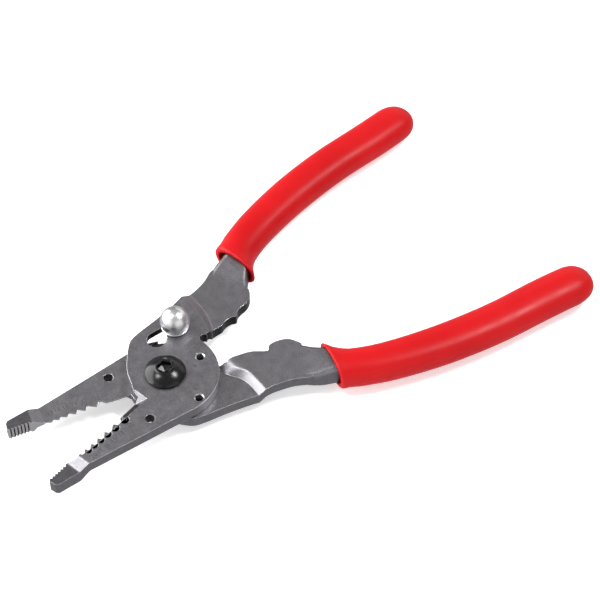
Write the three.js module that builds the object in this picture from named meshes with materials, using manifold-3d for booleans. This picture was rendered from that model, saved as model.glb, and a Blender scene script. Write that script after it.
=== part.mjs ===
// A 200 mm stripping, cutting and crimping plier with a sliding lock, lying open on its pivot nut.
// Millimetres, +Z up. The origin is on the pivot axis, in the plane that the pivot nut rests on.
// +X runs from the pivot towards the handles. Each half is drawn as it lies when the tool is shut,
// with its closing line on y = 0, and is then turned open by half of OPENING_DEGREES.
import * as THREE from 'three';
import { mergeVertices } from 'three/addons/utils/BufferGeometryUtils.js';
import Module from 'manifold-3d';

const wasm = await Module();
wasm.setup();

// Driving dimensions.
const OPENING_DEGREES = 25.4;
const CLOSING_TRAVEL_DEGREES = 25;
const MATING_Z = 6.9;
const GAP = 0.3;
const PLATE = 3.9;
const NOSE_THICKNESS = 4.6;
const FRONT_HUB_RADIUS = 17.4;
const REAR_HUB_RADIUS = 16.9;
const NOSE_END_X = -53.3;
const SCREW_RADIUS = 4;
const SCREW_HEAD_RADIUS = 6.75;
const SCREW_HEAD_HEIGHT = 3.1;
const SCREW_DOME_RADIUS = 9.6;
const SCREW_RING_RADIUS = 3.05;
const SCREW_SOCKET_FLATS = 4.5;
const SCREW_SOCKET_DEPTH = 2.2;
const BUSH_RADIUS = 5.2;
const NUT_FLATS = 13;
const SPRING_RADIUS = 7.2;
const SPRING_WIRE_RADIUS = 0.45;
const SPRING_RECESS = 0.6;
const GRIP_MOUTH_X = 51.3;
const GRIP_END_X = 146.8;
const GRIP_TOP_Z = 5;
const GRIP_BOTTOM_Z = -5.7;
const BALL_RADIUS = 4.9;
const BALL_HEIGHT = 3.1;

// Derived levels, measured from the mating plane between the two halves.
const PLATE_BOTTOM = GAP / 2;
const PLATE_TOP = PLATE_BOTTOM + PLATE;
const PLATE_MIDDLE = PLATE_BOTTOM + PLATE / 2;

// The lock slides along a straight slot in the front half. These places are for the open tool.
const LOCK_FREE = new THREE.Vector2(13.5, 13.95);
const LOCK_SHUT_X = 5.5;
const LOCK_LOBE_RADIUS = 3.2;
const LOCK_LOBE_Y = 13.1;
const LOCK_STEM_RADIUS = 2;
const LOCK_FLANGE_RADIUS = 3.1;
const LOCK_TIP_RADIUS = 1;
const LOCK_TIP_LENGTH = 1.2;
const LOCK_RECESS_TOP = 1.75;

// Stripping notches from the coarsest wire to the finest: distance from the pivot and depth.
const NOTCHES = [
  [22.5, 1.76], [26.7, 1.5], [30, 1.25], [33, 1], [35.8, 0.8], [38.3, 0.65],
];
const STRIPPING_END_X = -40.6;
const NOTCH_TIP_SHARE = 0.36;
const TOOTH_LAND = 0.24;
const FIRST_NOTCH_RUN = 1.8;
const COUNTERSINK_RADIUS = 1.15;
const COUNTERSINK_SHIFT = 0.4;
const COUNTERSINK_Y = -2.3;
const EDGE_OVERLAP = 0.55;
const CUTTER_END_X = -12.2;

// Ramps that bring each half onto the mating plane, at the nose and at the root of the handle.
const NOSE_RAMP_X = -41;
const NOSE_RAMP = 4.2;

const radians = THREE.MathUtils.degToRad;

// ---------------------------------------------------------------------------------------------
// Helpers

function toSolid(geometry) {
  const bare = geometry.clone();
  bare.deleteAttribute('normal');
  bare.deleteAttribute('uv');
  const merged = mergeVertices(bare, 1e-4);
  return new wasm.Manifold(new wasm.Mesh({
    numProp: 3,
    vertProperties: new Float32Array(merged.attributes.position.array),
    triVerts: new Uint32Array(merged.index.array),
  }));
}

function toGeometry(solid) {
  const mesh = solid.getMesh();
  const geometry = new THREE.BufferGeometry();
  geometry.setAttribute('position', new THREE.BufferAttribute(mesh.vertProperties, 3));
  geometry.setIndex(new THREE.BufferAttribute(mesh.triVerts, 1));
  geometry.computeVertexNormals();
  return geometry;
}

function carve(body, ...tools) {
  return tools.reduce((solid, tool) => solid.subtract(toSolid(tool)), body);
}

function point(x, y) {
  return new THREE.Vector2(x, y);
}

function arc(x, y, radius, startDegrees, endDegrees, steps) {
  const points = [];
  for (let i = 0; i <= steps; i += 1) {
    const angle = radians(THREE.MathUtils.lerp(startDegrees, endDegrees, i / steps));
    points.push(point(x + radius * Math.cos(angle), y + radius * Math.sin(angle)));
  }
  return points;
}

function smooth(points, steps) {
  return new THREE.SplineCurve(points.map(([x, y]) => point(x, y))).getPoints(steps);
}

// A table with more rows between its own, on a smooth curve in each column.
function fair(table, between) {
  const columns = table[0].map((_, column) => new THREE.SplineCurve(
    table.map((row, place) => point(place, row[column])),
  ));
  const steps = (table.length - 1) * between;
  const rows = [];
  for (let step = 0; step <= steps; step += 1) {
    rows.push(columns.map((column) => column.getPoint(step / steps).y));
  }
  return rows;
}

function prism(points, bottom, top) {
  const geometry = new THREE.ExtrudeGeometry(new THREE.Shape(points), {
    depth: top - bottom,
    bevelEnabled: false,
  });
  return geometry.translate(0, 0, bottom);
}

function drill(x, y, radius, bottom, top, sides = 20) {
  return prism(arc(x, y, radius, 0, 360 - 360 / sides, sides - 1), bottom, top);
}

// A slot with round ends from one point to another.
function slot(from, to, radius, bottom, top) {
  const angle = THREE.MathUtils.radToDeg(Math.atan2(to.y - from.y, to.x - from.x));
  return prism([
    ...arc(to.x, to.y, radius, angle - 90, angle + 90, 8),
    ...arc(from.x, from.y, radius, angle + 90, angle + 270, 8),
  ], bottom, top);
}

function turned(vector, degrees) {
  return vector.clone().rotateAround(point(0, 0), radians(degrees));
}

function lathe(profile, steps = 32) {
  const geometry = new THREE.LatheGeometry(profile.map(([r, z]) => point(r, z)), steps);
  return geometry.rotateX(Math.PI / 2);
}

// A closed skin over rings that all have the same number of points, with flat ends.
function loft(rings) {
  const sides = rings[0].length;
  const positions = rings.flat().flatMap((corner) => corner.toArray());
  const faces = [];
  for (let ring = 0; ring < rings.length - 1; ring += 1) {
    for (let side = 0; side < sides; side += 1) {
      const here = ring * sides + side;
      const next = ring * sides + ((side + 1) % sides);
      faces.push(here, here + sides, next + sides, here, next + sides, next);
    }
  }
  const last = (rings.length - 1) * sides;
  for (let side = 1; side < sides - 1; side += 1) {
    faces.push(0, side, side + 1, last, last + side + 1, last + side);
  }
  const geometry = new THREE.BufferGeometry();
  geometry.setAttribute('position', new THREE.Float32BufferAttribute(positions, 3));
  geometry.setIndex(faces);
  return geometry;
}

// A slab whose top and bottom follow the stations along x. A station's x may depend on y.
function bentSlab(stations, rows) {
  const box = new THREE.BoxGeometry(1, 1, 1, stations.length - 1, rows.length - 1, 1);
  const place = box.attributes.position;
  for (let i = 0; i < place.count; i += 1) {
    const station = stations[Math.round((place.getX(i) + 0.5) * (stations.length - 1))];
    const y = rows[Math.round((place.getY(i) + 0.5) * (rows.length - 1))];
    const z = station.middle + Math.sign(place.getZ(i)) * station.half;
    place.setXYZ(i, station.x(y), y, z);
  }
  return box;
}

// ---------------------------------------------------------------------------------------------
// The two halves, drawn as the front half: jaw below the closing line, handle above it

// Each ramp at the root of a handle is a table of y, the x where it leaves the hub's level, and its length.
const FRONT = {
  side: 1,
  hubRadius: FRONT_HUB_RADIUS,
  rootRamp: [
    [0, 21.2, 2.6], [3.7, 23.1, 3.4], [8.1, 24.9, 4.2], [11.9, 25.95, 4.4], [15.3, 26.6, 4.5],
    [18.5, 27, 4.5],
  ],
  reliefEnd: 12,
  edgeRelief: 0,
  notchDeepening: 0.45,
  crimpEdge: [
    [20.6, 1.1], [22.7, 0.75], [24.2, 1.2], [26.2, 0.9], [27.7, 0.6], [30, 1], [32.3, 0.6],
    [33.9, -0.35], [35.4, 0.6], [37.2, 0.95], [40.2, 0.9], [42.2, 1.5], [44, 2.6], [45.4, 4.4],
  ],
};

const REAR = {
  side: -1,
  hubRadius: REAR_HUB_RADIUS,
  rootRamp: [
    [2.2, 17.7, 4.8], [4.8, 18.2, 5], [6.5, 19.6, 4.6], [8.2, 21.6, 3.9], [10.9, 23.3, 3.1],
    [13.8, 24.2, 2.9], [17, 24.8, 3], [19, 25.2, 3],
  ],
  reliefEnd: 68,
  edgeRelief: 1,
  notchDeepening: 0,
  crimpEdge: [
    [20.6, 1.75], [22.6, 1.25], [26, 1.3], [29, 1.5], [31.4, 2.4], [34.3, 3.5], [35.1, 2.3],
    [36.2, 1.3], [38.5, 0.95], [41, 1.15], [43, 2], [44.3, 3.4], [45.6, 5],
  ],
};

// Runs from the nose to the pivot. Each notch is steep towards the nose and gentle towards the pivot.
function strippingEdge(half) {
  const points = [point(STRIPPING_END_X - 0.4, 0)];
  let farDistance = -STRIPPING_END_X;
  for (const [distance, leastDepth] of [...NOTCHES].reverse()) {
    const depth = THREE.MathUtils.lerp(leastDepth, NOTCHES[0][1], half.notchDeepening);
    const bottom = EDGE_OVERLAP - depth;
    const floor = 0.05 + depth * 0.14;
    const tip = THREE.MathUtils.lerp(distance, farDistance, NOTCH_TIP_SHARE);
    points.push(point(-tip - TOOTH_LAND / 2, EDGE_OVERLAP));
    points.push(point(-tip + TOOTH_LAND / 2, EDGE_OVERLAP));
    points.push(point(-distance - floor, bottom + floor * 0.4));
    points.push(point(-distance, bottom));
    points.push(point(-distance + floor, bottom + floor * 0.25));
    farDistance = distance;
  }
  points.push(point(-NOTCHES[0][0] + FIRST_NOTCH_RUN, EDGE_OVERLAP));
  return points;
}

function noseTeeth() {
  const count = 6;
  const pitch = 1.15;
  const depth = 0.7;
  const start = NOSE_END_X + 0.7;
  const points = [];
  for (let tooth = 0; tooth < count; tooth += 1) {
    points.push(point(start + tooth * pitch, -0.02));
    points.push(point(start + (tooth + 0.5) * pitch, -depth));
  }
  points.push(point(start + count * pitch, -0.02));
  return points;
}

function halfOutline(half) {
  return [
    point(NOSE_END_X, -0.7),
    point(NOSE_END_X + 0.15, -2.9),
    point(NOSE_END_X + 0.9, -3.8),
    point(-45.3, -5.4),
    point(-42, -6.2),
    ...arc(0, 0, half.hubRadius, -106, -4, 26),
    ...arc(18.9, 0.1, 1.65, 205, half.reliefEnd, 10),
    ...smooth(half.crimpEdge, 34),
    point(44.5, 12),
    point(43.6, 19.2),
    ...smooth([
      [42.3, 19.1], [40, 18.4], [37.6, 17.75], [34.5, 17.45], [30, 17.4], [27, 17.85], [22.5, 17.5],
      [14.5, 17.5], [9, 17.85], [3.9, 17.95], [1.5, 17.3], [-1, 15.7],
    ], 26),
    ...smooth([[-3.4, 13.7], [-6.1, 11.3], [-8.1, 8.9], [-10, 5.7], [-11.9, 2.6]], 10),
    point(CUTTER_END_X, EDGE_OVERLAP),
    ...strippingEdge(half).reverse(),
    ...noseTeeth().reverse(),
  ];
}

// A straight climb from 0 to 1 that bends in over the first share and out over the last.
function softStep(share, bendIn = 0.2, bendOut = 0.2) {
  const climb = 1 - bendIn / 2 - bendOut / 2;
  if (share < bendIn) {
    return share ** 2 / (2 * bendIn * climb);
  }
  const left = 1 - share;
  return left < bendOut ? 1 - left ** 2 / (2 * bendOut * climb) : (share - bendIn / 2) / climb;
}

// The plate lies beside the mating plane at the hub, and is joggled onto it at both ends.
function joggledSlab(half) {
  const still = (x) => () => x;
  const bend = (share) => PLATE_MIDDLE * (1 - softStep(share));
  const rows = fair(half.rootRamp, 2);
  rows.unshift([-22, ...rows[0].slice(1)]);
  rows.push([24, ...rows.at(-1).slice(1)]);
  const ramp = (share) => (y) => {
    const [, start, length] = rows.find(([rowY]) => rowY === y);
    return start + share * length;
  };
  const stations = [{ x: still(NOSE_END_X - 5), middle: 0, half: NOSE_THICKNESS / 2 }];
  for (const share of [1, 0.9, 0.8, 0.2, 0.1, 0]) {
    stations.push({
      x: still(NOSE_RAMP_X - NOSE_RAMP * share),
      middle: bend(share),
      half: THREE.MathUtils.lerp(PLATE / 2, NOSE_THICKNESS / 2, share),
    });
  }
  for (const share of [0, 0.05, 0.1, 0.65, 0.77, 0.88, 1]) {
    const middle = PLATE_MIDDLE * (1 - softStep(share, 0.1, 0.35));
    stations.push({ x: ramp(share), middle, half: PLATE / 2 });
  }
  stations.push({ x: still(50), middle: 0, half: PLATE / 2 });
  return bentSlab(stations, rows.map(([y]) => y));
}

// The outer side of the jaw is ground away towards its edge, and the grind runs out at the nose.
// Each station is x at the mating side, x at the top, the top's y, and the width of the thin lip it leaves.
const GRIND = [
  [-14, -11.3, -2.6, 0], [-19.6, -19.6, -2.7, 0.2], [-20.6, -20.6, -2.75, 1.5], [-24, -24, -3.2, 1.6],
  [-38.5, -38.5, -2.8, 1.4], [-41.6, -41.6, -2, 0.5], [-45.6, -45.6, 0.7, 0],
];

function edgeGrind(half) {
  const low = PLATE_BOTTOM + 0.25;
  const high = PLATE_TOP + 1;
  const beyond = (high - low) / (PLATE_TOP - low);
  const openY = EDGE_OVERLAP + 2.2;
  return loft(GRIND.map(([lowX, topX, fullTopY, lip]) => {
    const highX = THREE.MathUtils.lerp(lowX, topX, beyond);
    const lowY = EDGE_OVERLAP + 0.25 - lip;
    const topY = fullTopY - lip * half.edgeRelief;
    return [
      new THREE.Vector3(lowX, lowY, low),
      new THREE.Vector3(lowX, openY, low),
      new THREE.Vector3(highX, openY, high),
      new THREE.Vector3(highX, THREE.MathUtils.lerp(lowY, topY, beyond), high),
    ];
  }));
}

// A cone at each notch leaves only a thin edge to meet the wire.
function countersinks() {
  return NOTCHES.map(([distance, depth]) => {
    const radius = COUNTERSINK_RADIUS + 0.25 * depth;
    const low = PLATE_BOTTOM + 0.5;
    return lathe([
      [0, low], [0.4, low], [radius, PLATE_TOP], [radius, PLATE_TOP + 1], [0, PLATE_TOP + 1],
    ], 18).translate(-distance + COUNTERSINK_SHIFT, COUNTERSINK_Y - 0.4 * depth, 0);
  });
}

// Handle stations: x and y of the outer and inner edge, then the top and the lowest level.
const TANG = [
  [37.5, 16.6, 41.6, 4.6, 1.88, -1.6],
  [40.6, 18.3, 44.6, 4.3, 1.98, -2],
  [43.8, 19.6, 46.2, 5.6, 2.25, -2.6],
  [47.4, 20.3, 48.4, 7.7, 2.75, -3.4],
  [51.3, 20.7, 51.3, 9.7, 3.2, -3.8],
  [56, 22.8, 56.2, 13.8, 3.4, -3.7],
  [62, 25, 62, 16.4, 3.4, -3.6],
  [72, 26.5, 72, 17.8, 3.4, -3.6],
  [88, 27.2, 88, 18.6, 3.4, -3.6],
  [108, 26.2, 108, 17.6, 3.4, -3.6],
  [128, 23.5, 127, 14.9, 3.4, -3.6],
  [136, 21.8, 135, 14.4, 3, -3.2],
];
const TANG_FAIRING = 2;
const GRIPPED_STATION = 4;
const TANG_WALL = 2.4;
const TANG_CORNER = 2.1;

// One cross-section of the handle, as a box with round upper corners, seen from the pivot.
function tangRing([outerX, outerY, innerX, innerY, top, bottom], inset, side) {
  const outer = point(outerX, outerY);
  const inner = point(innerX, innerY);
  const width = outer.distanceTo(inner) - 2 * inset;
  const middle = outer.clone().lerp(inner, 0.5);
  const across = outer.clone().sub(inner).normalize();
  const radius = Math.min(TANG_CORNER - inset, (top - bottom) / 2.2);
  const corner = Math.max(radius, 0.2);
  const half = width / 2;
  const ceiling = top - inset;
  const profile = [
    [half, bottom], ...arc(half - corner, ceiling - corner, corner, 0, 90, 4).map((p) => p.toArray()),
    ...arc(corner - half, ceiling - corner, corner, 90, 180, 4).map((p) => p.toArray()), [-half, bottom],
  ];
  const ring = profile.map(([v, z]) => new THREE.Vector3(
    middle.x + across.x * v,
    side * (middle.y + across.y * v),
    z,
  ));
  return side > 0 ? ring.reverse() : ring;
}

function tang(side) {
  return loft(fair(TANG, TANG_FAIRING).map((station) => tangRing(station, 0, side)));
}

function grippedTang() {
  return fair(TANG, TANG_FAIRING).slice(GRIPPED_STATION * TANG_FAIRING);
}

// The hollow of the handle, which is open below.
function tangHollow(side) {
  const hollow = grippedTang().map((station) => {
    const [outerX, outerY, innerX, innerY, top, bottom] = station;
    return tangRing([outerX, outerY, innerX, innerY, top, bottom - 4], TANG_WALL, side);
  });
  hollow.push(hollow.at(-1).map((corner) => corner.clone().setX(corner.x + 3)));
  return loft(hollow);
}

// An arc-shaped groove round the pivot, for the return spring and its end.
function ringGroove(inner, outer, startDegrees, endDegrees, bottom, top) {
  const steps = Math.max(6, Math.round((endDegrees - startDegrees) / 9));
  return prism([
    ...arc(0, 0, outer, startDegrees, endDegrees, steps),
    ...arc(0, 0, inner, endDegrees, startDegrees, steps),
  ], bottom, top);
}

const SPRING_END_DEGREES = 150;
const SPRING_START_DEGREES = 210;
const SPRING_ROOM = SPRING_WIRE_RADIUS + 0.35;

function halfBody(half) {
  const outline = prism(halfOutline(half), -8, 8);
  const plate = toSolid(outline).intersect(toSolid(joggledSlab(half)));
  const recess = drill(0, 0, SPRING_RADIUS + SPRING_ROOM, -1, PLATE_BOTTOM + SPRING_RECESS, 40);
  const ground = carve(
    plate,
    edgeGrind(half),
    ...countersinks(),
    recess,
    drill(0, 0, BUSH_RADIUS + GAP, -8, 8, 32),
    drill(-16.5, -8.8, 1.6, -8, 8),
  );
  const upright = half.side > 0 ? ground : toSolid(toGeometry(ground).rotateX(Math.PI));
  return upright.add(toSolid(tang(half.side))).subtract(toSolid(tangHollow(half.side)));
}

// Bolt-shear holes pass through both halves when the tool is open.
const SHEAR_HOLES = [point(12.8, -1.2), point(3, -14.7)];
const SHEAR_HOLE_RADIUS = 1.6;

function shearDrills(turn) {
  return SHEAR_HOLES.map((hole) => turned(hole, turn))
    .map((hole) => drill(hole.x, hole.y, SHEAR_HOLE_RADIUS, -8, 8));
}

function lockSlot(turn) {
  const rightX = LOCK_FREE.x - 0.1;
  const neckBottom = 11.55;
  const lobes = [rightX, LOCK_SHUT_X].map((x) => {
    const lobe = turned(point(x, LOCK_LOBE_Y), turn);
    return toSolid(drill(lobe.x, lobe.y, LOCK_LOBE_RADIUS, -1, 6, 28));
  });
  const neck = prism([
    point(LOCK_SHUT_X, neckBottom), point(rightX, neckBottom),
    point(rightX, LOCK_LOBE_Y + LOCK_LOBE_RADIUS), point(LOCK_SHUT_X, LOCK_LOBE_Y + LOCK_LOBE_RADIUS),
  ].map((corner) => turned(corner, turn)), -1, 6);
  return lobes[0].add(lobes[1]).add(toSolid(neck));
}

const OPEN_TURN = OPENING_DEGREES / 2;
const LOCK_SHUT = point(LOCK_SHUT_X, LOCK_FREE.y);

function frontHalf() {
  const room = LOCK_FLANGE_RADIUS + GAP;
  const turn = -OPEN_TURN;
  const recess = slot(turned(LOCK_FREE, turn), turned(LOCK_SHUT, turn), room, -1, LOCK_RECESS_TOP);
  const springPocket = ringGroove(
    SPRING_RADIUS - SPRING_ROOM,
    SPRING_RADIUS + SPRING_ROOM,
    SPRING_END_DEGREES - OPENING_DEGREES - 8,
    SPRING_END_DEGREES + 8,
    -1,
    PLATE_BOTTOM + 1.7,
  );
  return carve(halfBody(FRONT), ...shearDrills(turn), recess, springPocket).subtract(lockSlot(turn));
}

// The rear half has a groove for the lock's tip on the shut tool, and one that clears it on the open tool.
function rearHalf() {
  const room = LOCK_TIP_RADIUS + GAP;
  const floor = -PLATE_BOTTOM - LOCK_TIP_LENGTH - 0.25;
  const grooves = [OPEN_TURN, OPEN_TURN - CLOSING_TRAVEL_DEGREES].map(
    (turn) => slot(turned(LOCK_FREE, turn), turned(LOCK_SHUT, turn), room, floor, 1),
  );
  const springHole = turned(point(SPRING_RADIUS, 0), SPRING_START_DEGREES);
  const anchor = drill(springHole.x, springHole.y, SPRING_ROOM, -PLATE_BOTTOM - 1.8, 1);
  return carve(halfBody(REAR), ...shearDrills(OPEN_TURN), ...grooves, anchor);
}

// ---------------------------------------------------------------------------------------------
// Grips

// Stations of the grip: x, the middle's y, and half of its width.
const GRIP_LINE = new THREE.CatmullRomCurve3([
  [GRIP_MOUTH_X, 15.9, 9.2], [54.5, 18, 7.9], [59, 20, 7], [70, 22, 6.9], [88, 22.9, 7.2],
  [108, 21.9, 7.35], [128, 19.1, 7.5], [140, 17.8, 7.4], [GRIP_END_X, 17.7, 7.2],
].map((station) => new THREE.Vector3(...station)));
const GRIP_MOUTH_EXTRA = 0.25;
const GRIP_ROUND_END = 9;
const GRIP_SIDES = 20;

function gripRing(share, side) {
  const station = GRIP_LINE.getPoint(share);
  const left = GRIP_END_X - station.x;
  const past = THREE.MathUtils.clamp(1 - left / GRIP_ROUND_END, 0, 1);
  const shrink = Math.max(0.06, Math.pow(1 - Math.pow(past, 2.3), 1 / 2.3));
  const flare = Math.max(0, 1 - (station.x - GRIP_MOUTH_X) / 4) * GRIP_MOUTH_EXTRA;
  const halfHeight = ((GRIP_TOP_Z - GRIP_BOTTOM_Z) / 2 + flare) * shrink;
  const middleZ = (GRIP_TOP_Z + GRIP_BOTTOM_Z) / 2 + flare;
  const ring = [];
  for (let i = 0; i < GRIP_SIDES; i += 1) {
    const angle = (i / GRIP_SIDES) * 2 * Math.PI;
    ring.push(new THREE.Vector3(
      station.x,
      side * (station.y + station.z * shrink * Math.cos(angle)),
      middleZ + halfHeight * Math.sin(angle),
    ));
  }
  return side > 0 ? ring.reverse() : ring;
}

function grip(side) {
  const straight = 15;
  const shares = [];
  for (let i = 0; i <= straight; i += 1) {
    shares.push((i / straight) * 0.9);
  }
  shares.push(0.93, 0.955, 0.975, 0.99, 1);
  const skin = toSolid(loft(shares.map((share) => gripRing(share, side))));
  const room = grippedTang().map((station) => tangRing(station, -GAP, side));
  for (const ring of room) {
    ring.forEach((corner) => corner.setZ(corner.z > 0 ? corner.z : corner.z - GAP));
  }
  room.unshift(room[0].map((corner) => corner.clone().setX(corner.x - 1)));
  room.push(room.at(-1).map((corner) => corner.clone().setX(corner.x + GAP)));
  const mouth = loft([0, 0.018, 0.05].map((share, step) => {
    const ring = gripRing(share, side);
    const middle = GRIP_LINE.getPoint(share);
    const shrink = [0.84, 0.82, 0.3][step];
    ring.forEach((corner) => {
      corner.setY(side * middle.y + (corner.y - side * middle.y) * shrink);
      corner.setZ(corner.z * shrink - (1 - shrink));
      corner.setX(corner.x - (step === 0 ? 1 : 0));
    });
    return ring;
  }));
  return skin.subtract(toSolid(loft(room))).subtract(toSolid(mouth));
}

// ---------------------------------------------------------------------------------------------
// Pivot

function hexagon(flats, bottom, top, turn = 0) {
  return prism(arc(0, 0, flats / Math.sqrt(3), turn, turn + 300, 5), bottom, top);
}

function pivotScrew() {
  const base = PLATE_TOP + GAP;
  const dome = [];
  const steps = 6;
  const rim = 0.6;
  const domeHeight = (radius) => Math.sqrt(SCREW_DOME_RADIUS ** 2 - radius ** 2);
  for (let i = 0; i <= steps; i += 1) {
    const radius = THREE.MathUtils.lerp(SCREW_HEAD_RADIUS, SCREW_RING_RADIUS, i / steps);
    dome.push([radius, base + rim + domeHeight(radius) - domeHeight(SCREW_HEAD_RADIUS)]);
  }
  const body = lathe([
    [0, -MATING_Z], [SCREW_RADIUS, -MATING_Z], [SCREW_RADIUS, base], [SCREW_HEAD_RADIUS, base],
    ...dome, [SCREW_RING_RADIUS - 0.05, base + SCREW_HEAD_HEIGHT], [0, base + SCREW_HEAD_HEIGHT],
  ], 30);
  const top = base + SCREW_HEAD_HEIGHT;
  return toSolid(body).subtract(toSolid(hexagon(SCREW_SOCKET_FLATS, top - SCREW_SOCKET_DEPTH, top + 1)));
}

function pivotBush() {
  const inner = SCREW_RADIUS + GAP;
  const height = PLATE_TOP - 0.05;
  return lathe([
    [inner, -height], [BUSH_RADIUS, -height], [BUSH_RADIUS, height], [inner, height], [inner, -height],
  ]);
}

function pivotNut() {
  const top = -PLATE_TOP - GAP + 0.05;
  const body = toSolid(hexagon(NUT_FLATS, -MATING_Z, top, 30));
  return body.subtract(toSolid(drill(0, 0, SCREW_RADIUS + GAP, -MATING_Z - 1, top + 1, 28)));
}

function returnSpring() {
  const points = [];
  const depth = 1.3;
  const sweep = SPRING_END_DEGREES + 360 - SPRING_START_DEGREES;
  const start = turned(point(SPRING_RADIUS, 0), SPRING_START_DEGREES);
  const end = turned(point(SPRING_RADIUS, 0), SPRING_END_DEGREES);
  points.push(new THREE.Vector3(start.x, start.y, -depth));
  for (let i = 0; i <= 24; i += 1) {
    const place = turned(point(SPRING_RADIUS, 0), SPRING_START_DEGREES + 4 + (i / 24) * (sweep - 8));
    points.push(new THREE.Vector3(place.x, place.y, 0));
  }
  points.push(new THREE.Vector3(end.x, end.y, depth));
  const wire = new THREE.Shape(arc(0, 0, SPRING_WIRE_RADIUS, 0, 300, 5));
  return new THREE.ExtrudeGeometry(wire, {
    steps: 48,
    extrudePath: new THREE.CatmullRomCurve3(points, false, 'chordal'),
    bevelEnabled: false,
  });
}

// ---------------------------------------------------------------------------------------------
// Lock

function lockStud() {
  const flangeBottom = PLATE_BOTTOM + 0.2;
  const flangeTop = flangeBottom + 0.7;
  const stemTop = PLATE_TOP + BALL_RADIUS + 0.6;
  const tipBottom = PLATE_BOTTOM - LOCK_TIP_LENGTH;
  return lathe([
    [0, tipBottom], [LOCK_TIP_RADIUS, tipBottom], [LOCK_TIP_RADIUS, flangeBottom],
    [LOCK_FLANGE_RADIUS, flangeBottom], [LOCK_FLANGE_RADIUS, flangeTop], [LOCK_STEM_RADIUS, flangeTop],
    [LOCK_STEM_RADIUS, stemTop], [0, stemTop],
  ], 24);
}

function lockWaveWasher() {
  const inner = LOCK_STEM_RADIUS + 0.2;
  const outer = LOCK_FLANGE_RADIUS - 0.1;
  const flat = new THREE.Shape(arc(0, 0, outer, 0, 350, 35));
  flat.holes.push(new THREE.Path(arc(0, 0, inner, 350, 0, 35)));
  const washer = new THREE.ExtrudeGeometry(flat, { depth: 0.15, bevelEnabled: false });
  const place = washer.attributes.position;
  for (let i = 0; i < place.count; i += 1) {
    const wave = 0.1 * Math.sin(3 * Math.atan2(place.getY(i), place.getX(i)));
    place.setZ(i, place.getZ(i) + wave + PLATE_BOTTOM + 1.25);
  }
  return washer;
}

function lockCollar() {
  const base = PLATE_TOP + 0.25;
  return lathe([
    [LOCK_STEM_RADIUS + 0.2, base], [4.3, base], [4.6, base + 0.2], [4.6, base + 0.45],
    [4.3, base + 0.6], [LOCK_STEM_RADIUS + 0.2, base + 0.6], [LOCK_STEM_RADIUS + 0.2, base],
  ], 32);
}

function lockBall() {
  const middle = PLATE_TOP + BALL_HEIGHT;
  const flat = PLATE_TOP + 1.1;
  const hole = LOCK_STEM_RADIUS + 0.2;
  const holeTop = PLATE_TOP + BALL_RADIUS + 0.9;
  const start = Math.asin((flat - middle) / BALL_RADIUS);
  const profile = [[0, holeTop], [hole, holeTop], [hole, flat]];
  const steps = 10;
  for (let i = 0; i < steps; i += 1) {
    const angle = THREE.MathUtils.lerp(start, Math.PI / 2, i / steps);
    profile.push([BALL_RADIUS * Math.cos(angle), middle + BALL_RADIUS * Math.sin(angle)]);
  }
  return lathe([...profile, [0, middle + BALL_RADIUS]], 28);
}

// ---------------------------------------------------------------------------------------------
// Assembly

function finish(color, roughness, metalness) {
  return () => new THREE.MeshStandardMaterial({ color, roughness, metalness });
}

const steel = finish(0x7f7d82, 0.38, 0.9);
const vinyl = finish(0xd9262c, 0.32, 0);
const blackOxide = finish(0x141416, 0.35, 0.6);
const chrome = finish(0xe6e8ea, 0.08, 1);
const springSteel = finish(0x55565a, 0.4, 0.9);
const bronze = finish(0x9a7444, 0.45, 0.8);

function addPart(group, name, shape, material) {
  const geometry = shape.isBufferGeometry ? shape : toGeometry(shape);
  const mesh = new THREE.Mesh(geometry, material());
  mesh.name = name;
  group.add(mesh);
  return mesh;
}

const stripper = new THREE.Group();
stripper.position.z = MATING_Z;

const frontGroup = new THREE.Group();
frontGroup.rotation.z = radians(OPEN_TURN);
addPart(frontGroup, 'front_half', frontHalf(), steel);
addPart(frontGroup, 'front_grip', grip(1), vinyl);

const rearGroup = new THREE.Group();
rearGroup.rotation.z = radians(-OPEN_TURN);
addPart(rearGroup, 'rear_half', rearHalf(), steel);
addPart(rearGroup, 'rear_grip', grip(-1), vinyl);
addPart(rearGroup, 'return_spring', returnSpring(), springSteel);

const pivotGroup = new THREE.Group();
addPart(pivotGroup, 'pivot_screw', pivotScrew(), blackOxide);
addPart(pivotGroup, 'pivot_bush', pivotBush(), bronze);
addPart(pivotGroup, 'pivot_nut', pivotNut(), blackOxide);

const lockGroup = new THREE.Group();
lockGroup.position.set(LOCK_FREE.x, LOCK_FREE.y, 0);
addPart(lockGroup, 'lock_stud', lockStud(), springSteel);
addPart(lockGroup, 'lock_wave_washer', lockWaveWasher(), springSteel);
addPart(lockGroup, 'lock_collar', lockCollar(), chrome);
addPart(lockGroup, 'lock_ball', lockBall(), chrome);

stripper.add(frontGroup, rearGroup, pivotGroup, lockGroup);

export default stripper;
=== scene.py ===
import math

import bmesh
import bpy
from mathutils import Matrix, Vector


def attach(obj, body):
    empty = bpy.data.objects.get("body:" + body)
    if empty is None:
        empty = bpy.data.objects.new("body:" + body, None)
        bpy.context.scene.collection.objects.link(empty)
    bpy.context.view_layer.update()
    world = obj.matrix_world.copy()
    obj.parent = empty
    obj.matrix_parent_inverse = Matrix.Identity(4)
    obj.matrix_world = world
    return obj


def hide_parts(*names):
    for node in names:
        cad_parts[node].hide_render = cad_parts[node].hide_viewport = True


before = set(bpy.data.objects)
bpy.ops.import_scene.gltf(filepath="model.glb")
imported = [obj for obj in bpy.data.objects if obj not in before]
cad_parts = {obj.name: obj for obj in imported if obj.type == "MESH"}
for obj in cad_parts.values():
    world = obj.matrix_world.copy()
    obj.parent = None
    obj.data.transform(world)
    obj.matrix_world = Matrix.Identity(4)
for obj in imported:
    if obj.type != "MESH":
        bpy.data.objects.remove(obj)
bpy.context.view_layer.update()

MM = 0.001
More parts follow.
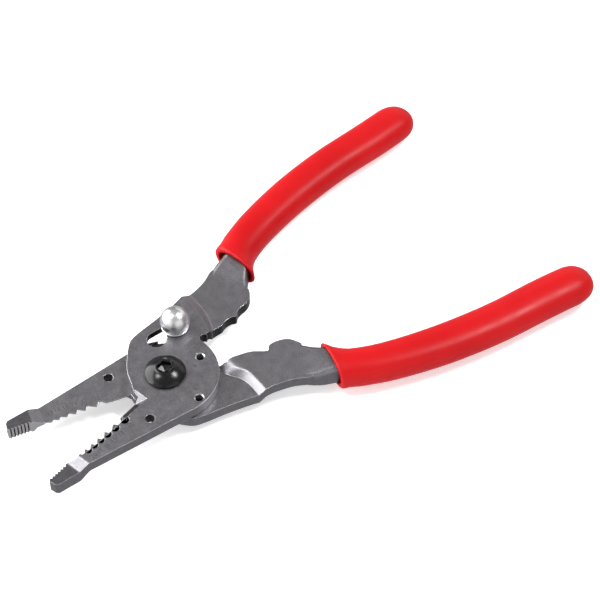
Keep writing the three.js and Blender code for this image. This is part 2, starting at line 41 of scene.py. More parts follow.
TAU = 2 * math.pi

# Dimensions shared with the CAD part, in millimetres. Heights are measured from the mating plane
# between the two halves, and places on a half are those of the shut tool.
MATING_Z = 6.9
OPEN_TURN = math.radians(12.7)
PLATE_BOTTOM = 0.15
PLATE_TOP = 4.05
GAP = 0.3
SCREW_RADIUS = 4.0
HEAD_RADIUS = 6.72
HEAD_HEIGHT = 3.1
DOME_RADIUS = 9.6
SOCKET_FLATS = 4.5
SOCKET_DEPTH = 2.2
NUT_FLATS = 13.0
BALL_RADIUS = 4.9
BALL_HEIGHT = 3.1
STEM_BORE = 2.2
LOCK_PLACE = (13.5, 13.95)
GRIP_MOUTH_X = 51.35
GRIP_END_X = 146.75
GRIP_TOP_Z = 4.95
GRIP_BOTTOM_Z = -5.65
GRIP_ROUND_END = 9.0
# x, y of the middle, and half of the width
GRIP_STATIONS = (
    (51.3, 15.9, 8.8), (54.5, 18, 7.65), (59, 20, 6.95), (70, 22, 6.9), (88, 22.9, 7.15),
    (108, 21.9, 7.3), (128, 19.1, 7.45), (140, 17.8, 7.35), (146.8, 17.7, 7.15),
)
# distance of each stripping notch from the pivot, and its wire gauge
NOTCHES = ((22.5, "10"), (26.7, "12"), (30, "14"), (33, "16"), (35.8, "18"), (38.3, "20"))
WIRE_HOLE = (-16.5, -8.8)
WIRE_HOLE_RADIUS = 1.6
# bolt-shear holes of the open tool, and the bolt sizes beside them
SHEAR_HOLES = (("shear_threads_a", 12.8, -1.2), ("shear_threads_b", 3.0, -14.7))
HOLE_MARKS = ((9.3, -3.4, "8"), (4.2, -11.2, "6"))

# The photograph's view: the camera stands over the jaws' side and looks at the middle of the tool.
CAMERA_PLACE = Vector((-204.1, -343.9, 515.55)) * MM
CAMERA_TARGET = Vector((54.9, 1.1, 7.25)) * MM
CAMERA_LENS_MM = 120

# Softboxes: name, direction from the pivot, distance and size in metres, and radiance.
SOFTBOXES = (
    ("left_softbox", (-0.91, -0.05, 0.41), 0.9, (1.0, 0.8), 0.75),
    ("right_softbox", (0.02, -0.92, 0.41), 0.9, (1.0, 0.8), 0.75),
    ("side_softbox", (-0.58, 0.72, 0.38), 0.9, (1.3, 0.7), 6.0),
    ("handle_softbox", (0.85, 0.35, 0.33), 1.2, (1.2, 0.5), 0.9),
    ("back_softbox", (-0.372, 0.257, 0.892), 0.9, (0.22, 0.22), 19.0),
    ("front_softbox", (0.50, -0.222, 0.835), 0.9, (0.22, 0.22), 32.0),
)

scene = bpy.context.scene


def lerp(low, high, share):
    return low + (high - low) * share


# ------------------------------------------------------------------------------------------------
# Materials

class Nodes:
    """A material's node tree, with short ways to add and join nodes."""

    def __init__(self, name):
        self.material = bpy.data.materials.new(name)
        self.material.use_nodes = True
        self.tree = self.material.node_tree
        self.shader = self.tree.nodes["Principled BSDF"]
        self.place = self.add("ShaderNodeTexCoord").outputs["Object"]

    def add(self, kind, **settings):
        node = self.tree.nodes.new(kind)
        for key, value in settings.items():
            setattr(node, key, value)
        return node

    def join(self, source, target):
        self.tree.links.new(source, target)

    def feed(self, socket, source):
        """Joins a source to one of the shader's own sockets."""
        self.join(source, self.shader.inputs[socket])

    def set(self, **values):
        for name, value in values.items():
            self.shader.inputs[name.replace("_", " ")].default_value = value

    def noise(self, grains_per_mm, detail=3.0, roughness=0.55, place=None):
        noise = self.add("ShaderNodeTexNoise")
        noise.inputs["Scale"].default_value = grains_per_mm / MM
        noise.inputs["Detail"].default_value = detail
        noise.inputs["Roughness"].default_value = roughness
        self.join(place or self.place, noise.inputs["Vector"])
        return noise.outputs["Fac"]

    def scratches(self, per_mm, turn, stretch=0.02):
        """Noise that is drawn out into lines, which are turned about Z."""
        mapping = self.add("ShaderNodeMapping")
        mapping.inputs["Rotation"].default_value = (0, 0, turn)
        mapping.inputs["Scale"].default_value = (stretch, 1, 1)
        self.join(self.place, mapping.inputs["Vector"])
        return self.noise(per_mm, detail=4, roughness=0.5, place=mapping.outputs["Vector"])

    def ramp(self, source, low, high, at=(0.3, 0.7)):
        ramp = self.add("ShaderNodeMapRange")
        ramp.inputs["From Min"].default_value, ramp.inputs["From Max"].default_value = at
        ramp.inputs["To Min"].default_value, ramp.inputs["To Max"].default_value = low, high
        self.join(source, ramp.inputs["Value"])
        return ramp.outputs["Result"]

    def mix(self, share, first, second):
        """A mix of two colors, each a tuple or another node's output."""
        mix = self.add("ShaderNodeMix", data_type="RGBA")
        self.join(share, mix.inputs["Factor"])
        for color, socket in ((first, "A"), (second, "B")):
            target = next(s for s in mix.inputs if s.name == socket and s.type == "RGBA")
            if isinstance(color, tuple):
                target.default_value = (*color, 1)
            else:
                self.join(color, target)
        return next(s for s in mix.outputs if s.type == "RGBA")

    def math(self, operation, first, second):
        node = self.add("ShaderNodeMath", operation=operation)
        for index, value in enumerate((first, second)):
            if isinstance(value, (int, float)):
                node.inputs[index].default_value = value
            else:
                self.join(value, node.inputs[index])
        return node.outputs["Value"]

    def rounded_normal(self, radius_mm):
        bevel = self.add("ShaderNodeBevel", samples=6)
        bevel.inputs["Radius"].default_value = radius_mm * MM
        return bevel.outputs["Normal"]

    def edge_mask(self, radius_mm, at=(0.06, 0.24)):
        """1 on convex and concave edges, 0 on open faces."""
        geometry = self.add("ShaderNodeNewGeometry")
        dot = self.add("ShaderNodeVectorMath", operation="DOT_PRODUCT")
        self.join(self.rounded_normal(radius_mm), dot.inputs[0])
        self.join(geometry.outputs["Normal"], dot.inputs[1])
        turned = self.math("SUBTRACT", 1.0, dot.outputs["Value"])
        return self.ramp(turned, 0, 1, at)

    def bump(self, height, strength, depth_mm, edge_radius_mm=0):
        bump = self.add("ShaderNodeBump")
        bump.inputs["Strength"].default_value = strength
        bump.inputs["Distance"].default_value = depth_mm * MM
        self.join(height, bump.inputs["Height"])
        if edge_radius_mm:
            self.join(self.rounded_normal(edge_radius_mm), bump.inputs["Normal"])
        self.feed("Normal", bump.outputs["Normal"])


def steel_material(name, dark, light, edge_wear_and_highlight, roughness):
    """Tumbled and hardened steel: cloudy tone, fine pits, and edges brighter, partly rubbed wear and partly
    a painted highlight line.
    """
    nodes = Nodes(name)
    clouds = nodes.math("MULTIPLY", nodes.noise(0.35, detail=4, roughness=0.6), 0.25)
    grain = nodes.math("MULTIPLY", nodes.noise(2.6, detail=4, roughness=0.75), 0.75)
    tone = nodes.math("ADD", clouds, grain)
    tone_span = (0.36, 0.64)
    edges = nodes.math("MULTIPLY", nodes.edge_mask(0.3), nodes.ramp(nodes.noise(0.8), 0.5, 1))
    body = nodes.mix(nodes.ramp(tone, 0, 1, tone_span), dark, light)
    # edges found by edge_mask go towards the edge colour: partly rubbed wear, partly a painted highlight
    # line
    nodes.feed("Base Color", nodes.mix(edges, body, edge_wear_and_highlight))
    rough = nodes.ramp(tone, roughness - 0.06, roughness + 0.08, tone_span)
    rubbed = nodes.math("MULTIPLY", edges, 0.08)
    nodes.feed("Roughness", nodes.math("SUBTRACT", rough, rubbed))
    pits = nodes.noise(3.2, detail=5, roughness=0.7)
    nodes.bump(pits, strength=0.35, depth_mm=0.012, edge_radius_mm=0.2)
    nodes.set(Metallic=1.0)
    return nodes.material


def vinyl_material():
    """Dipped vinyl: glossy, with a faint orange-peel skin, small cloudy changes of tone and rubbed spots."""
    nodes = Nodes("red_vinyl")
    clouds = nodes.noise(0.05, roughness=0.5)
    specks = nodes.noise(1.6, detail=2, roughness=0.5)
    body = nodes.mix(nodes.ramp(clouds, 0, 1), (0.40, 0.004, 0.006), (0.47, 0.006, 0.008))
    body = nodes.mix(nodes.ramp(specks, 0, 0.22, at=(0.62, 0.8)), body, (0.5, 0.016, 0.016))
    nodes.feed("Base Color", body)
    nodes.feed("Roughness", nodes.ramp(nodes.noise(0.25, detail=4, roughness=0.6), 0.3, 0.42))
    nodes.bump(nodes.noise(0.55, roughness=0.5), strength=0.2, depth_mm=0.05)
    nodes.set(Specular_IOR_Level=0.15)
    return nodes.material


def black_oxide_material():
    """Blackened steel with a thin haze, rubbed lighter on its edges."""
    nodes = Nodes("black_oxide")
    haze = nodes.noise(1.2, detail=4, roughness=0.6)
    body = nodes.mix(nodes.ramp(haze, 0, 1), (0.003, 0.003, 0.0035), (0.008, 0.0075, 0.008))
    edges = nodes.math("MULTIPLY", nodes.edge_mask(0.12), nodes.ramp(nodes.noise(1.5), 0.1, 0.8))
    nodes.feed("Base Color", nodes.mix(edges, body, (0.07, 0.068, 0.07)))
    nodes.feed("Roughness", nodes.ramp(nodes.noise(2.5, detail=4, roughness=0.6), 0.18, 0.24))
    grain = nodes.noise(2.2, roughness=0.5)
    nodes.bump(grain, strength=0.12, depth_mm=0.004, edge_radius_mm=0.12)
    nodes.set(Specular_IOR_Level=0.3)
    return nodes.material


def chrome_material():
    """Polished chrome, a little hazy and finely scratched."""
    nodes = Nodes("polished_chrome")
    haze = nodes.noise(0.5, detail=4, roughness=0.6)
    body = nodes.mix(nodes.ramp(haze, 0, 1), (0.62, 0.62, 0.625), (0.82, 0.82, 0.825))
    nodes.feed("Base Color", body)
    nodes.feed("Roughness", nodes.ramp(nodes.noise(1.1, detail=5, roughness=0.7), 0.25, 0.36))
    nodes.bump(nodes.scratches(1.6, turn=0.6), strength=0.08, depth_mm=0.02)
    nodes.set(Metallic=1.0)
    return nodes.material


def bright_metal_material(name, dark, light, roughness):
    """Turned or drawn metal with fine marks across it."""
    nodes = Nodes(name)
    marks = nodes.scratches(6, turn=0.9, stretch=0.1)
    nodes.feed("Base Color", nodes.mix(nodes.ramp(marks, 0, 1), dark, light))
    patches = nodes.noise(1.5, detail=4)
    nodes.feed("Roughness", nodes.ramp(patches, roughness - 0.08, roughness + 0.08))
    nodes.bump(marks, strength=0.2, depth_mm=0.01)
    nodes.set(Metallic=1.0)
    return nodes.material


def etched_material():
    """The dark, dull floor of a laser-etched mark."""
    nodes = Nodes("etched_marks")
    grain = nodes.noise(3, detail=4, roughness=0.7)
    nodes.feed("Base Color", nodes.mix(nodes.ramp(grain, 0, 1), (0.05, 0.05, 0.053), (0.115, 0.112, 0.12)))
    nodes.feed("Roughness", nodes.ramp(nodes.noise(2), 0.55, 0.75))
    nodes.set(Metallic=0.6)
    return nodes.material


def floor_material():
    """White paper. Reflections see it darker, as if the room behind the camera were dim."""
    nodes = Nodes("floor")
    nodes.feed("Base Color", nodes.mix(nodes.noise(0.02), (0.84, 0.84, 0.85), (0.86, 0.86, 0.86)))
    nodes.set(Roughness=0.7, Specular_IOR_Level=0.1, Emission_Color=(1, 1, 1, 1), Emission_Strength=0.45)
    dim = nodes.add("ShaderNodeEmission")
    dim.inputs["Color"].default_value = (0.50, 0.50, 0.52, 1)
    path = nodes.add("ShaderNodeLightPath")
    mix = nodes.add("ShaderNodeMixShader")
    nodes.join(path.outputs["Is Glossy Ray"], mix.inputs[0])
    nodes.join(nodes.shader.outputs["BSDF"], mix.inputs[1])
    nodes.join(dim.outputs["Emission"], mix.inputs[2])
    nodes.join(mix.outputs["Shader"], nodes.tree.nodes["Material Output"].inputs["Surface"])
    return nodes.material


# edge colours of the steels: rubbed wear, and a painted highlight line along the edges
WORN_EDGE_AND_HIGHLIGHT = (0.9, 0.9, 0.91)
DULL_EDGE_AND_HIGHLIGHT = (0.5, 0.5, 0.51)
STEEL = steel_material("tool_steel", (0.18, 0.174, 0.187), (0.300, 0.290, 0.309), WORN_EDGE_AND_HIGHLIGHT, 0.38)
# near-black steel: painted shade for grinds, notches, holes and thread turns
PAINTED_SHADE_STEEL = steel_material("painted_shade_steel", (0.012, 0.012, 0.0125), (0.04, 0.039, 0.041), DULL_EDGE_AND_HIGHLIGHT, 0.3)
# bright steel: painted highlight on the teeth's facets that face -x, and fresh-cut steel with a painted
# highlight on the grind's run-out
FRESH_CUT_HIGHLIGHT_STEEL = steel_material("fresh_cut_highlight_steel", (0.5, 0.49, 0.505), (0.7, 0.69, 0.705), WORN_EDGE_AND_HIGHLIGHT, 0.34)
# darker steel: painted shade on the noses' level faces
PAINTED_SHADE_NOSE_STEEL = steel_material("painted_shade_nose_steel", (0.10, 0.097, 0.104), (0.18, 0.174, 0.187), WORN_EDGE_AND_HIGHLIGHT, 0.36)
VINYL = vinyl_material()
BLACK_OXIDE = black_oxide_material()
CHROME = chrome_material()
SPRING_STEEL = bright_metal_material("spring_steel", (0.3, 0.3, 0.31), (0.5, 0.5, 0.51), 0.28)
BRONZE = bright_metal_material("bronze", (0.24, 0.14, 0.06), (0.42, 0.27, 0.12), 0.38)
ETCHED = etched_material()


# ------------------------------------------------------------------------------------------------
# Mesh helpers

# how upright a face's normal has to be for the face to be shaded flat
LEVEL = 0.9995

# from millimetres above the mating plane, on the pivot's axis or on the lock's, to the row frame
PIVOT_TO_WORLD = Matrix.Scale(MM, 4) @ Matrix.Translation((0, 0, MATING_Z))
LOCK_TO_WORLD = Matrix.Scale(MM, 4) @ Matrix.Translation((*LOCK_PLACE, MATING_Z))


def half_to_world(side):
    """From a half's own places, in millimetres, to the row frame: side 1 is the front half, -1 the rear."""
    mirror = Matrix.Scale(side, 4, (0, 1, 0))
    return PIVOT_TO_WORLD @ Matrix.Rotation(OPEN_TURN * side, 4, "Z") @ mirror


def show(name, mesh, material, body, replaces=(), smooth_angle=35):
    """Adds a piece of the visual model, smooth across angles under smooth_angle and flat where level."""
    piece = bpy.data.objects.new(name, mesh)
    scene.collection.objects.link(piece)
    if not mesh.materials:
        mesh.materials.append(material)
    mesh.shade_smooth()
    mesh.set_sharp_from_angle(angle=math.radians(smooth_angle))
    for face in mesh.polygons:
        if abs(face.normal.z) > LEVEL:
            face.use_smooth = False
    if replaces:
        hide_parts(*replaces)
    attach(piece, body)
    return piece


def skin(name, rings, transform, closed_loop=False):
    """A mesh over rings that all have the same number of points, with flat ends or closed on itself."""
    mesh = bpy.data.meshes.new(name)
    sides = len(rings[0])
    points = [transform @ Vector(point) for ring in rings for point in ring]
    faces = []
    last = len(rings) - 1
    for ring in range(last + (1 if closed_loop else 0)):
        here = ring * sides
        there = (ring + 1) % len(rings) * sides
        for side in range(sides):
            after = (side + 1) % sides
            faces.append((here + side, here + after, there + after, there + side))
    if not closed_loop:
        faces.append(tuple(range(sides))[::-1])
        faces.append(tuple(last * sides + side for side in range(sides)))
    mesh.from_pydata(points, [], faces)
    shape = bmesh.new()
    shape.from_mesh(mesh)
    bmesh.ops.remove_doubles(shape, verts=shape.verts, dist=1e-7)
    bmesh.ops.recalc_face_normals(shape, faces=shape.faces)
    shape.to_mesh(mesh)
    shape.free()
    return mesh


def circle(radius, z, sides, x=0.0, y=0.0):
    angles = [TAU * i / sides for i in range(sides)]
    return [(x + radius * math.cos(angle), y + radius * math.sin(angle), z) for angle in angles]


def hexagon(flats, z, sides, turn=0.0):
    """A hexagon with the same number of points as a circle, so that the two can be skinned."""
    ring = []
    for i in range(sides):
        angle = TAU * i / sides
        local = (angle - turn) % (TAU / 6) - TAU / 12
        radius = flats / 2 / math.cos(local)
        ring.append((radius * math.cos(angle), radius * math.sin(angle), z))
    return ring


def curve_value(stations, x, column):
    """A smooth curve through the stations, which are sorted by their first value."""
    index = max(i for i in range(len(stations) - 1) if stations[i][0] <= x or i == 0)
    here, there = stations[index], stations[index + 1]
    before = stations[max(index - 1, 0)]
    after = stations[min(index + 2, len(stations) - 1)]
    width = there[0] - here[0]
    share = (x - here[0]) / width
    slope_here = (there[column] - before[column]) / (there[0] - before[0]) * width
    slope_there = (after[column] - here[column]) / (after[0] - here[0]) * width
    return (
        (2 * share ** 3 - 3 * share ** 2 + 1) * here[column]
        + (share ** 3 - 2 * share ** 2 + share) * slope_here
        + (3 * share ** 2 - 2 * share ** 3) * there[column]
        + (share ** 3 - share ** 2) * slope_there
    )


# ------------------------------------------------------------------------------------------------
# The halves: the CAD shape with clean shading, and a finish or painted light for each of its faces

# tumbled all over, with painted shade in grinds, notches and holes, a painted highlight on the teeth's
# facets that face -x and on the grind's run-out, and painted shade on the noses
FINISHES_AND_PAINTED_LIGHT = (STEEL, PAINTED_SHADE_STEEL, FRESH_CUT_HIGHLIGHT_STEEL, PAINTED_SHADE_NOSE_STEEL)
TUMBLED, PAINTED_SHADE, FRESH_CUT_AND_HIGHLIGHT, PAINTED_SHADE_NOSE = range(len(FINISHES_AND_PAINTED_LIGHT))

# Zones of a half, in millimetres: the nose's ramp lies between the first two, and the teeth beyond it.
NOSE_RAMP_X = -40.8
NOSE_X = -45.6
SLACK = 0.3
CUTTER_X = -11.5
CUTTER_FACET_X = -15.0
CUTTER_Y = (-5.2, 1.2)
LIP_TOP = 0.5
CRIMPER_X = (17, 44.5)
CRIMPER_Y = (-1.5, 5)
SLOT_X = (1, 20)
SLOT_Y = (7, 16)


def inside(value, span):
    return span[0] < value < span[1]


def finish_or_painted_light_of(place, normal):
    """The finish or painted light of a half's face, from the middle of the face in millimetres and its
    normal.
    """
    x, y, z = place
    upright_wall = abs(normal.z) < 0.3
    at_edge = abs(y) < 1.2
    teeth = x < NOSE_X and at_edge and upright_wall
    run_out = inside(x, (NOSE_X - SLACK, NOSE_RAMP_X)) and abs(y) < 1.5 and abs(normal.z) < 0.8
    # teeth facets facing -x and the grind's run-out are brighter: painted highlight, on the run-out also
    # fresh-cut steel
    if run_out or (teeth and normal.x < 0):
        return FRESH_CUT_AND_HIGHLIGHT
    # level faces on the noses are darker: painted shade
    if x < NOSE_X + 0.2 and abs(normal.z) > 0.9:
        return PAINTED_SHADE_NOSE

    lip = normal.z > 0.97 and z < LIP_TOP
    cutter_facet = x > CUTTER_FACET_X and normal.x < -0.55 and normal.z > 0.3
    if lip or cutter_facet:
        return TUMBLED

    between_faces = inside(z, (PLATE_BOTTOM + 0.05, PLATE_TOP - 0.1))
    grind = inside(x, (NOSE_RAMP_X, CUTTER_X)) and inside(y, CUTTER_Y) and between_faces and normal.z > 0.15
    crimper = inside(x, CRIMPER_X) and inside(y, CRIMPER_Y) and upright_wall
    slot = inside(x, SLOT_X) and inside(y, SLOT_Y) and upright_wall
    from_hole = math.hypot(x - WIRE_HOLE[0], y - WIRE_HOLE[1])
    hole = from_hole < WIRE_HOLE_RADIUS + 0.1 and upright_wall
    # grinds, the teeth's other facets, the crimper and slot walls and the wire hole's wall get near-black
    # steel: painted shade
    return PAINTED_SHADE if grind or teeth or crimper or slot or hole else TUMBLED


def make_half(name, node_name, side, body):
    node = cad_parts[node_name]
    mesh = node.data.copy()
    mesh.transform(node.matrix_world)
    mesh.materials.clear()
    for material in FINISHES_AND_PAINTED_LIGHT:
        mesh.materials.append(material)
    # the same outer side is up for both halves here, as they are one stamping turned over
    turn_over = Matrix.Scale(side, 4, (0, 0, 1))
    to_half = turn_over @ half_to_world(side).inverted()
    to_half_normal = to_half.to_3x3() * MM
    shape = bmesh.new()
    shape.from_mesh(mesh)
    bmesh.ops.remove_doubles(shape, verts=shape.verts, dist=2e-7)
    bmesh.ops.dissolve_limit(shape, angle_limit=math.radians(0.4), verts=shape.verts, edges=shape.edges)
    shape.normal_update()
    for face in shape.faces:
        face.material_index = finish_or_painted_light_of(to_half @ face.calc_center_median(), to_half_normal @ face.normal)
    shape.to_mesh(mesh)
    shape.free()
    piece = show(name, mesh, STEEL, body, (node_name,), 24)
    piece.modifiers.new("flat faces", "WEIGHTED_NORMAL").keep_sharp = True


# ------------------------------------------------------------------------------------------------
# Grips

def grip_ring(x, scale=1.0, flare=0.0, sides=64):
    """A cross-section, a little squarer than an ellipse, which shrinks over the grip's round end."""
    squareness = 0.92
    end_power = 2.3
    middle_y = curve_value(GRIP_STATIONS, x, 1)
    half_width = curve_value(GRIP_STATIONS, x, 2)
    past = min(max(1 - (GRIP_END_X - x) / GRIP_ROUND_END, 0), 1)
    shrink = max((1 - past ** end_power) ** (1 / end_power), 0.02)
    half_height = (GRIP_TOP_Z - GRIP_BOTTOM_Z) / 2
    middle_z = (GRIP_TOP_Z + GRIP_BOTTOM_Z) / 2
    ring = []
    for i in range(sides):
        angle = TAU * i / sides
        across = math.copysign(abs(math.cos(angle)) ** squareness, math.cos(angle))
        up = math.copysign(abs(math.sin(angle)) ** squareness, math.sin(angle))
        ring.append((
            x,
            middle_y + (half_width * scale + flare) * shrink * across,
            middle_z + (half_height * scale + flare) * shrink * up,
        ))
    return ring


def make_grip(name, node_name, side, body):
    """Dipped vinyl: the inside of the mouth, its rolled lip, the handle and a round end."""
    inside_depth, inside_steps = 4.5, 3
    inside_scale, mouth_scale = 0.80, 0.815
    lip_roll, lip_steps = 0.5203, 8
    lip_flare, flare_length = 0.28, 2.5
    straight_start, straight_steps = GRIP_MOUTH_X + 1.1, 56
    straight_end, end_steps = GRIP_END_X - GRIP_ROUND_END, 18
    rings = []
    for step in range(inside_steps + 1):
        share = step / inside_steps
        x = GRIP_MOUTH_X + inside_depth * (1 - share)
        rings.append(grip_ring(x, lerp(inside_scale, mouth_scale, share)))
    for step in range(lip_steps + 1):
        angle = math.pi * step / lip_steps
        outward = (1 - math.cos(angle)) / 2
        x = GRIP_MOUTH_X + lip_roll * (1 - math.sin(angle))
        rings.append(grip_ring(x, lerp(mouth_scale, 1, outward), lip_flare * outward))
    for step in range(straight_steps + 1):
        x = lerp(straight_start, straight_end, step / straight_steps)
        flare = lip_flare * max(0, 1 - (x - straight_start) / flare_length) ** 2
        rings.append(grip_ring(x, flare=flare))
    for step in range(1, end_steps + 1):
        angle = math.pi / 2 * step / end_steps
        rings.append(grip_ring(straight_end + GRIP_ROUND_END * math.sin(angle)))
    show(name, skin(name, rings, half_to_world(side)), VINYL, body, (node_name,), 60)


# ------------------------------------------------------------------------------------------------
# Pivot

def socket_rings(top, sides):
    """The hex socket, from its drill point up to its chamfered mouth."""
    turn = math.radians(12)
    floor = top - SOCKET_DEPTH
    return [
        hexagon(0.6, floor - 0.7, sides, turn), hexagon(SOCKET_FLATS - 0.5, floor, sides, turn),
        hexagon(SOCKET_FLATS, floor + 0.1, sides, turn), hexagon(SOCKET_FLATS, top - 0.25, sides, turn),
        hexagon(SOCKET_FLATS + 0.3, top - 0.05, sides, turn),
    ]


def dome_rings(base, top, sides):
    """The raised ring round the socket, the dome, and the rim under it."""
    rim, dome_steps = 0.5, 18
    # radius of each ring, and how far it lies below the top
    raised_ring = ((2.75, 0), (2.92, 0.03), (3.04, 0.13), (3.08, 0.22), (3.2, 0.33))
    rings = [circle(radius, top - drop, sides) for radius, drop in raised_ring]
    dome_start = raised_ring[-1][0]
    edge_height = math.sqrt(DOME_RADIUS ** 2 - HEAD_RADIUS ** 2)
    for step in range(1, dome_steps + 1):
        radius = lerp(dome_start, HEAD_RADIUS - 0.12, step / dome_steps)
        height = math.sqrt(DOME_RADIUS ** 2 - radius ** 2) - edge_height
        rings.append(circle(radius, base + rim + height, sides))
    rings.append(circle(HEAD_RADIUS, base + rim - 0.08, sides))
    rings.append(circle(HEAD_RADIUS, base + 0.2, sides))
    rings.append(circle(HEAD_RADIUS - 0.15, base + 0.02, sides))
    return rings


def shank_rings(base, sides):
    """The shank below the head, with its last turns of thread."""
    thread_depth, pitch, turns = 0.3, 0.62, 4
    thread_top = -PLATE_TOP
    rings = [
        circle(SCREW_RADIUS + 0.2, base, sides), circle(SCREW_RADIUS, base - 0.2, sides),
        circle(SCREW_RADIUS, thread_top, sides),
    ]
    for turn in range(turns):
        z = thread_top - 0.1 - turn * pitch
        rings.append(circle(SCREW_RADIUS - thread_depth, z - 0.2, sides))
        rings.append(circle(SCREW_RADIUS, z - pitch + 0.12, sides))
        rings.append(circle(SCREW_RADIUS, z - pitch, sides))
    rings.append(circle(SCREW_RADIUS - 0.5, -MATING_Z + 0.02, sides))
    return rings


def make_screw():
    sides = 96
    base = PLATE_TOP + GAP
    top = base + HEAD_HEIGHT
    rings = socket_rings(top, sides) + dome_rings(base, top, sides) + shank_rings(base, sides)
    mesh = skin("screw", rings, PIVOT_TO_WORLD)
    show("button_head_screw", mesh, BLACK_OXIDE, "rear", ("pivot_screw",), 28)


def make_nut():
    sides = 96
    top = -PLATE_TOP - GAP + 0.05
    bottom = -MATING_Z
    bore = SCREW_RADIUS + GAP
    bore_chamfer = 0.45
    corner_slope = 0.58
    face_radius = NUT_FLATS / 2 - 0.15

    def chamfered(z, direction):
        """A hexagon whose corners are bent away from the nut's flat face."""
        ring = []
        for x, y, _ in hexagon(NUT_FLATS, z, sides):
            beyond = math.hypot(x, y) - NUT_FLATS / 2
            ring.append((x, y, z + direction * beyond * corner_slope))
        return ring

    rings = [
        circle(bore, bottom + 0.4, sides), circle(bore + bore_chamfer, bottom, sides),
        circle(face_radius, bottom, sides), chamfered(bottom + 0.06, 1),
        chamfered(top - 0.06, -1), circle(face_radius, top, sides),
        circle(bore + bore_chamfer, top, sides), circle(bore, top - 0.4, sides),
    ]
    mesh = skin("nut", rings, PIVOT_TO_WORLD, closed_loop=True)
    show("pivot_hex_nut", mesh, BLACK_OXIDE, "rear", ("pivot_nut",), 28)


def make_threads():
    """The threads in the front half's two bolt-shear holes, with a bright chamfer, and painted shade on the
    turns below it.
    """
    sides = 40
    outer, root, crest = 1.62, 1.58, 1.26
    pitch = 0.55
    chamfer_z = (MATING_Z + PLATE_TOP - 0.25) * MM
    for name, x, y in SHEAR_HOLES:
        profile = [
            (outer, PLATE_BOTTOM + 0.05), (outer, PLATE_TOP + 0.01),
            (outer - 0.06, PLATE_TOP + 0.02), (crest, PLATE_TOP - 0.24),
        ]
        z = PLATE_TOP - 0.5
        while z > PLATE_BOTTOM + pitch:
            profile += [(root, z), (crest, z - pitch / 2)]
            z -= pitch
        profile.append((root, PLATE_BOTTOM + 0.1))
        rings = [circle(radius, height, sides, x, y) for radius, height in profile]
        mesh = skin(name, rings, PIVOT_TO_WORLD, closed_loop=True)
        mesh.materials.append(SPRING_STEEL)
        mesh.materials.append(PAINTED_SHADE_STEEL)
        # faces below the chamfer take the near-black steel: painted shade inside the hole
        for face in mesh.polygons:
            face.material_index = 1 if face.center.z < chamfer_z else 0
        show(name, mesh, SPRING_STEEL, "front", smooth_angle=50)


# ------------------------------------------------------------------------------------------------
# Lock

def make_ball():
    """A chrome ball with a flat foot, bored from below for the stud."""
    sides = 80
    steps = 40
    middle = PLATE_TOP + BALL_HEIGHT
    flat = PLATE_TOP + 1.1
    bore_top = flat + 4.2
    apex = 0.02
    foot_angle = math.asin((flat - middle) / BALL_RADIUS)
    foot_round = 0.03
    rings = [
        circle(apex, bore_top, sides), circle(STEM_BORE, bore_top, sides),
        circle(STEM_BORE, flat + 0.15, sides), circle(STEM_BORE + 0.15, flat, sides),
        circle(BALL_RADIUS * math.cos(foot_angle) - 0.12, flat, sides),
    ]
    for step in range(steps + 1):
        angle = lerp(foot_angle + foot_round, math.pi / 2, step / steps)
        radius = max(BALL_RADIUS * math.cos(angle), apex)
        rings.append(circle(radius, middle + BALL_RADIUS * math.sin(angle), sides))
    show("lock_knob", skin("ball", rings, LOCK_TO_WORLD), CHROME, "lock", ("lock_ball",), 40)


def make_collar():
    """The collar ring, with a rounded rim and a shallow dish in its top."""
    sides = 72
    base = PLATE_TOP + 0.25
    # radius, and height above the base
    profile = (
        (STEM_BORE, 0), (4.2, 0), (4.45, 0.06), (4.57, 0.2), (4.58, 0.4), (4.45, 0.54),
        (4.2, 0.6), (3.9, 0.5), (2.6, 0.46), (STEM_BORE, 0.46),
    )
    rings = [circle(radius, base + height, sides) for radius, height in profile]
    mesh = skin("collar", rings, LOCK_TO_WORLD, closed_loop=True)
    show("lock_rim", mesh, CHROME, "lock", ("lock_collar",), 40)


# ------------------------------------------------------------------------------------------------
# Gauge numbers etched beside the notches and the shear holes

MARK_LIFT = 0.006
GAUGE_HEIGHT = 1.5
BOLT_SIZE_HEIGHT = 1.6
# a font's size for digits that are 1 high
FONT_SIZE = 1.35


def etched_text(text, height_mm, place, turn):
    data = bpy.data.curves.new("mark", "FONT")
    data.body = text
    data.size = height_mm * MM * FONT_SIZE
    data.extrude = 0.004 * MM
    data.align_x = "CENTER"
    data.align_y = "CENTER"
    data.resolution_u = 3
    letters = bpy.data.objects.new("mark", data)
    scene.collection.objects.link(letters)
    mesh = bpy.data.meshes.new_from_object(letters)
    mesh.transform(Matrix.Translation(place) @ Matrix.Rotation(turn, 4, "Z"))
    bpy.data.objects.remove(letters)
    return mesh


def joined(name, meshes):
    whole = bmesh.new()
    for mesh in meshes:
        whole.from_mesh(mesh)
    result = bpy.data.meshes.new(name)
    whole.to_mesh(result)
    whole.free()
    return result


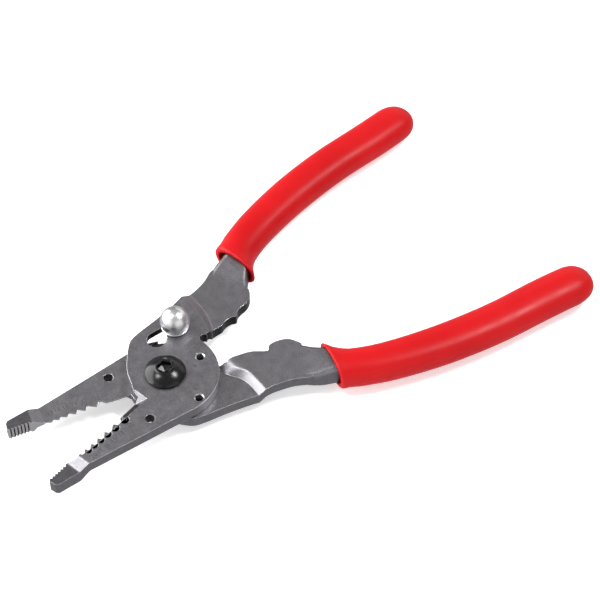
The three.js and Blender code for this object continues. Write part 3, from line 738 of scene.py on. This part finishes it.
def make_marks():
    """Gauges on both jaws. The front row drifts away from the edge towards the larger notches."""
    front_y, front_drift, rear_y, rear_shift = -5.4, -0.05, -3.2, -0.2
    drift_start = 38
    front_marks = []
    rear_marks = []
    for distance, gauge in NOTCHES:
        y = front_y + front_drift * (drift_start - distance)
        place = half_to_world(1) @ Vector((-distance, y, PLATE_TOP + MARK_LIFT))
        front_marks.append(etched_text(gauge, GAUGE_HEIGHT, place, OPEN_TURN))
        place = half_to_world(-1) @ Vector((rear_shift - distance, rear_y, -PLATE_BOTTOM + MARK_LIFT))
        rear_marks.append(etched_text(gauge, GAUGE_HEIGHT, place, -OPEN_TURN))
    for x, y, size in HOLE_MARKS:
        place = PIVOT_TO_WORLD @ Vector((x, y, PLATE_TOP + MARK_LIFT))
        front_marks.append(etched_text(size, BOLT_SIZE_HEIGHT, place, OPEN_TURN))
    show("front_gauge_marks", joined("front_marks", front_marks), ETCHED, "front")
    show("rear_gauge_marks", joined("rear_marks", rear_marks), ETCHED, "rear")


# ------------------------------------------------------------------------------------------------
# Inner pieces that keep the CAD's shape

def finish_inner_pieces():
    for node_name, material in (
        ("return_spring", SPRING_STEEL), ("pivot_bush", BRONZE), ("lock_stud", SPRING_STEEL),
        ("lock_wave_washer", SPRING_STEEL),
    ):
        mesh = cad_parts[node_name].data
        mesh.materials.clear()
        mesh.materials.append(material)
        mesh.shade_smooth()
        mesh.set_sharp_from_angle(angle=math.radians(35))


# ------------------------------------------------------------------------------------------------
# Camera, floor and light

def make_camera():
    data = bpy.data.cameras.new("camera")
    data.lens = CAMERA_LENS_MM
    data.sensor_width = 36
    data.clip_start = 0.01
    camera = bpy.data.objects.new("camera", data)
    camera.location = CAMERA_PLACE
    camera.rotation_euler = (CAMERA_TARGET - CAMERA_PLACE).to_track_quat("-Z", "Y").to_euler()
    scene.collection.objects.link(camera)
    scene.camera = camera


def make_stage():
    half_side = 3
    mesh = bpy.data.meshes.new("floor")
    corners = [(x * half_side, y * half_side, 0) for x, y in ((-1, -1), (1, -1), (1, 1), (-1, 1))]
    mesh.from_pydata(corners, [], [(0, 1, 2, 3)])
    floor = bpy.data.objects.new("floor", mesh)
    floor.location.z = -0.0002
    scene.collection.objects.link(floor)
    mesh.materials.append(floor_material())


def make_light(name, direction, distance, size, radiance):
    """A softbox seen from the pivot in the given direction."""
    data = bpy.data.lights.new(name, "AREA")
    data.shape = "RECTANGLE"
    data.size, data.size_y = size
    data.energy = radiance * math.pi * size[0] * size[1]
    lamp = bpy.data.objects.new(name, data)
    lamp.location = Vector(direction).normalized() * distance
    lamp.rotation_euler = Vector(direction).to_track_quat("Z", "Y").to_euler()
    scene.collection.objects.link(lamp)


def make_world():
    """A studio that is bright overhead and darker low down on the handles' side."""
    at_horizon, by_height, by_x, least = 0.21, 0.24, -0.02, 0.08
    world = bpy.data.worlds.new("studio")
    world.use_nodes = True
    tree = world.node_tree

    def calculate(operation, *values):
        node = tree.nodes.new("ShaderNodeMath")
        node.operation = operation
        for index, value in enumerate(values):
            if isinstance(value, float):
                node.inputs[index].default_value = value
            else:
                tree.links.new(value, node.inputs[index])
        return node.outputs["Value"]

    direction = tree.nodes.new("ShaderNodeSeparateXYZ")
    tree.links.new(tree.nodes.new("ShaderNodeTexCoord").outputs["Generated"], direction.inputs["Vector"])
    height = calculate("MULTIPLY_ADD", direction.outputs["Z"], by_height, at_horizon)
    tilted = calculate("MULTIPLY_ADD", direction.outputs["X"], by_x, height)
    tree.links.new(calculate("MAXIMUM", tilted, least), tree.nodes["Background"].inputs["Color"])
    scene.world = world


# ------------------------------------------------------------------------------------------------
# The scene

make_half("front_plate", "front_half", 1, "front")
make_half("rear_plate", "rear_half", -1, "rear")
make_grip("front_dipped_grip", "front_grip", 1, "front")
make_grip("rear_dipped_grip", "rear_grip", -1, "rear")
make_screw()
make_nut()
make_threads()
make_ball()
make_collar()
make_marks()
finish_inner_pieces()

make_camera()
make_stage()
for softbox in SOFTBOXES:
    make_light(*softbox)
make_world()
scene.view_settings.view_transform = "Standard"
